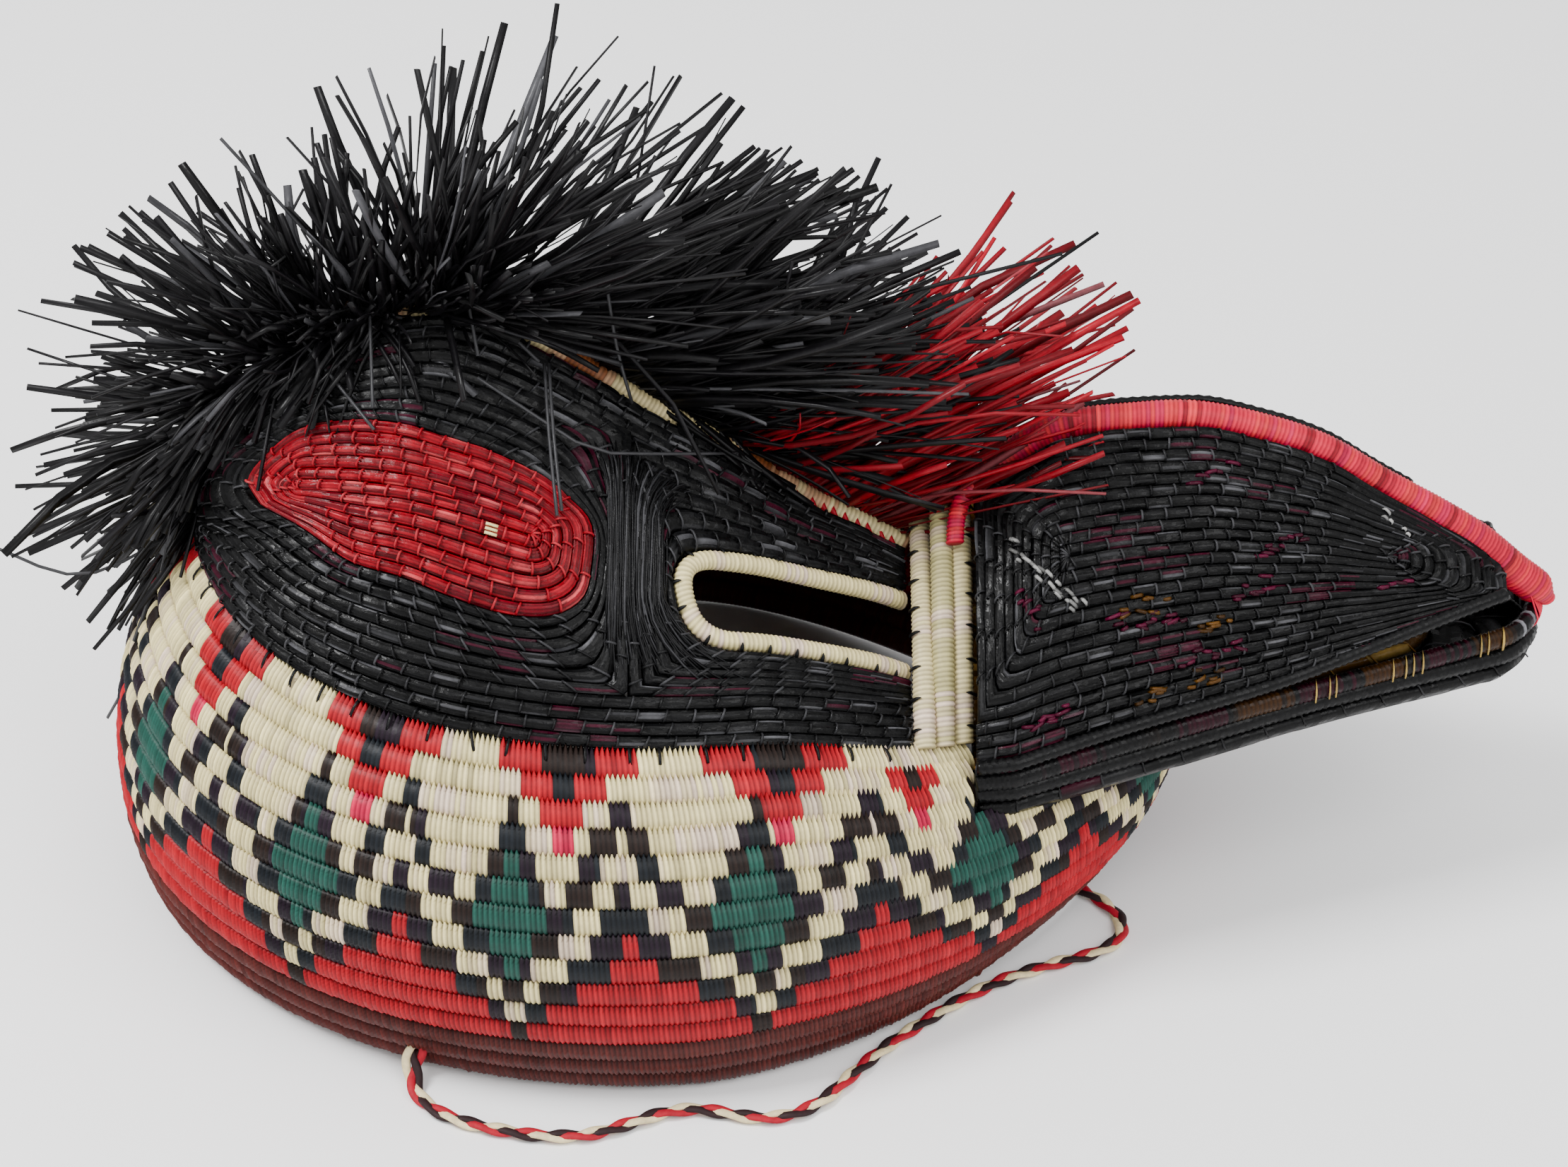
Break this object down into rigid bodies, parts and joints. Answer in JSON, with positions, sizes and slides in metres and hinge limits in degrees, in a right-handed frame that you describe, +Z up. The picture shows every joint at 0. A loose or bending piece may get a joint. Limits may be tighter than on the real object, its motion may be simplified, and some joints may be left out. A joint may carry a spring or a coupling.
{
  "type": "woven bird mask",
  "caption": "Coiled and stitched palm-fibre bird mask with a patterned bowl wall, black face, eye slots, long beak, fibre crest and braided strap, lying face up on its rim.",
  "frame": {"origin": "under the middle of the mask's overall length and width, without its strap, on the plane the rim rests on", "axes": "+X towards the tip of the beak, +Z up out of the face, -Y the side whose strap end shows"},
  "size_m": [0.3512, 0.2149, 0.2151],
  "materials": {
    "pale_wrapped_coil": "dyed and natural palm fibre, satin",
    "black_coil": "black palm fibre, slightly glossy",
    "red_wrapped_coil": "red dyed palm fibre, satin",
    "black_fibre": "loose black fibre, satin",
    "red_fibre": "loose red fibre, satin",
    "braid": "braided cream, red and black fibre"
  },
  "bodies": {
    "root": {"side_wall": "pale_wrapped_coil", "head_panel_near": "black_coil", "head_panel_far": "black_coil", "slot_rim_near": "pale_wrapped_coil", "slot_rim_far": "pale_wrapped_coil", "mid_seam": "pale_wrapped_coil", "beak_band": "pale_wrapped_coil", "beak_panel_near": "black_coil", "beak_panel_far": "black_coil", "beak_ridge": "red_wrapped_coil", "lower_beak": "black_coil", "crest_black": "black_fibre", "crest_red": "red_fibre", "strap": "braid"}
  },
  "joints": []
}
